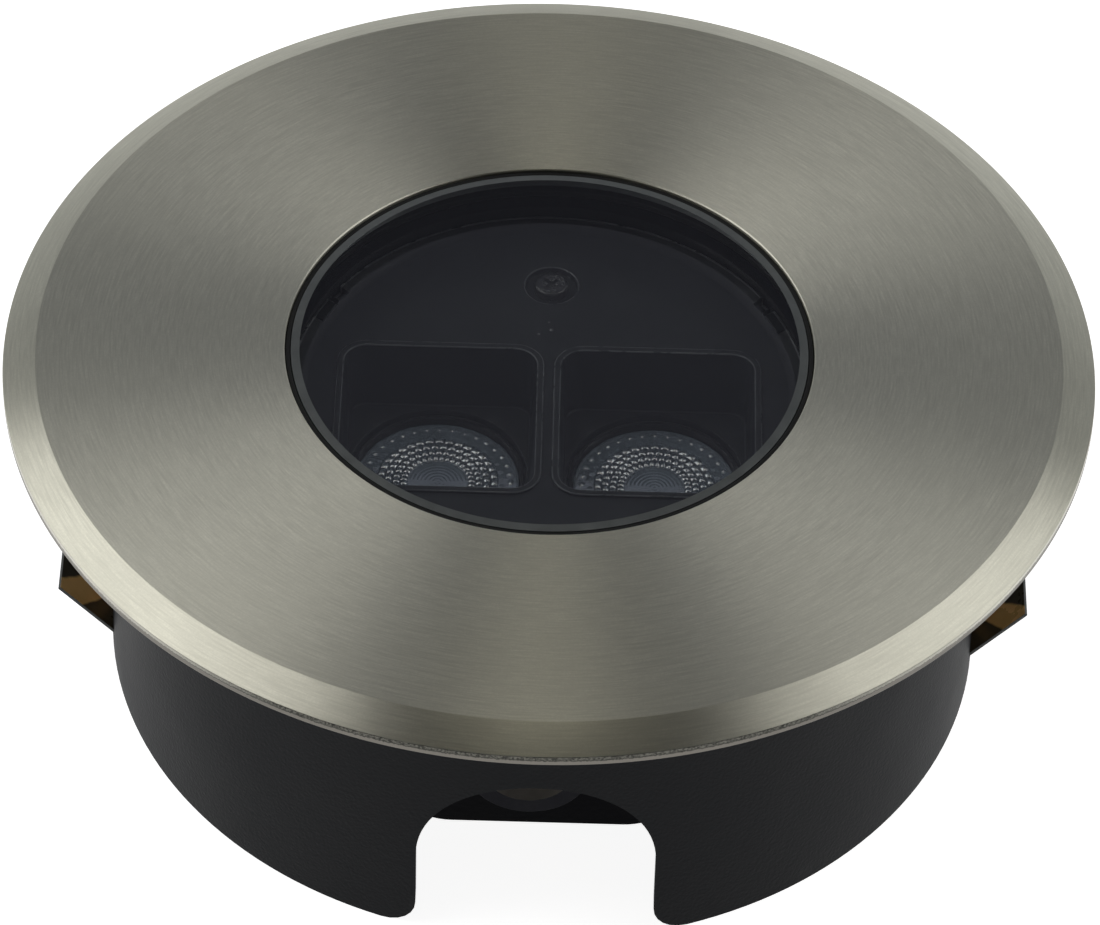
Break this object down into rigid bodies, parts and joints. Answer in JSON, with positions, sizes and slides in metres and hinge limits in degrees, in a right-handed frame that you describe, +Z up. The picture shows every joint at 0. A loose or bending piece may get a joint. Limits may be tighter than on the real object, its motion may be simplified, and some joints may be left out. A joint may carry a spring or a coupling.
{
  "type": "in ground well light",
  "caption": "Round recessed ground light with a brushed steel cover plate, glass window over twin lens wells, black skirt with cable notch and spring clips.",
  "frame": {"origin": "on the light's axis, in the plane on which the skirt stands", "axes": "+Z up, out through the glass; -Y towards the cable notch; +X to the right seen from the cable side"},
  "size_m": [0.152, 0.152, 0.054],
  "materials": {
    "brushed_steel": "turned, concentric brushing",
    "toughened_glass": "clear, ground edge",
    "black_silicone": "matt",
    "black_coating": "fine satin powder coat",
    "cast_can": "powder coated casting",
    "black_moulding": "satin moulded",
    "black_screw": "black plated",
    "plain_brass": "turned",
    "clear_lens": "clear, honeycomb face",
    "lamp_board": "white solder mask",
    "lamp_phosphor": "yellow phosphor dome",
    "thermal_pad": "soft, matt",
    "plain_aluminium": "plain",
    "plated_screw": "zinc plated",
    "driver_board": "green solder mask",
    "dark_ferrite": "matt",
    "terminal_plastic": "moulded",
    "gland_nylon": "moulded nylon",
    "spring_strip": "polished bronze spring strip",
    "plain_steel": "plain stainless"
  },
  "bodies": {
    "root": {"baffle_screw": "black_screw", "baffle_spacer": "plain_brass", "baffle_tray": "black_moulding", "capacitors": "plain_aluminium", "choke_coil": "dark_ferrite", "clip_leg_left": "spring_strip", "clip_leg_right": "spring_strip", "clip_rivets_left": "plain_aluminium", "clip_rivets_right": "plain_aluminium", "driver_board": "driver_board", "driver_board_screws": "plated_screw", "driver_chip": "dark_ferrite", "gland_body": "plain_brass", "gland_bush": "black_silicone", "gland_washer": "black_silicone", "glass_gasket": "black_silicone", "glass_window": "toughened_glass", "heat_plate": "plain_aluminium", "heat_plate_screws": "plated_screw", "lamp_housing": "cast_can", "led_board_left": "lamp_board", "led_board_right": "lamp_board", "led_board_screws": "plated_screw", "led_chip_left": "lamp_phosphor", "led_chip_right": "lamp_phosphor", "lens_holder_left": "black_moulding", "lens_holder_right": "black_moulding", "lens_left": "clear_lens", "lens_right": "clear_lens", "mounting_skirt": "black_coating", "terminal_block": "terminal_plastic", "thermal_pad_left": "thermal_pad", "thermal_pad_right": "thermal_pad", "trim_nuts": "plain_steel", "trim_ring": "brushed_steel", "trim_studs": "plain_steel", "trim_washers": "plain_steel"},
    "clip_arm_left": {"clip_arm_left": "spring_strip"},
    "clip_arm_right": {"clip_arm_right": "spring_strip"},
    "gland_nut": {"gland_nut": "gland_nylon"}
  },
  "joints": [
    {"name": "clip_left_flex", "type": "hinge", "parent": "root", "child": "clip_arm_left", "pos_m": [-0.0609, 0, 0.0054], "axis": [0, 1, 0], "range_deg": [0, 33], "stiffness_Nm_per_rad": 0.2},
    {"name": "clip_right_flex", "type": "hinge", "parent": "root", "child": "clip_arm_right", "pos_m": [0.0609, 0, 0.0054], "axis": [0, -1, 0], "range_deg": [0, 33], "stiffness_Nm_per_rad": 0.2},
    {"name": "gland_nut_turn", "type": "hinge", "parent": "root", "child": "gland_nut", "pos_m": [-0.0013, -0.0493, 0.0235], "axis": [0, -1, 0], "range_deg": [0, 720]}
  ]
}
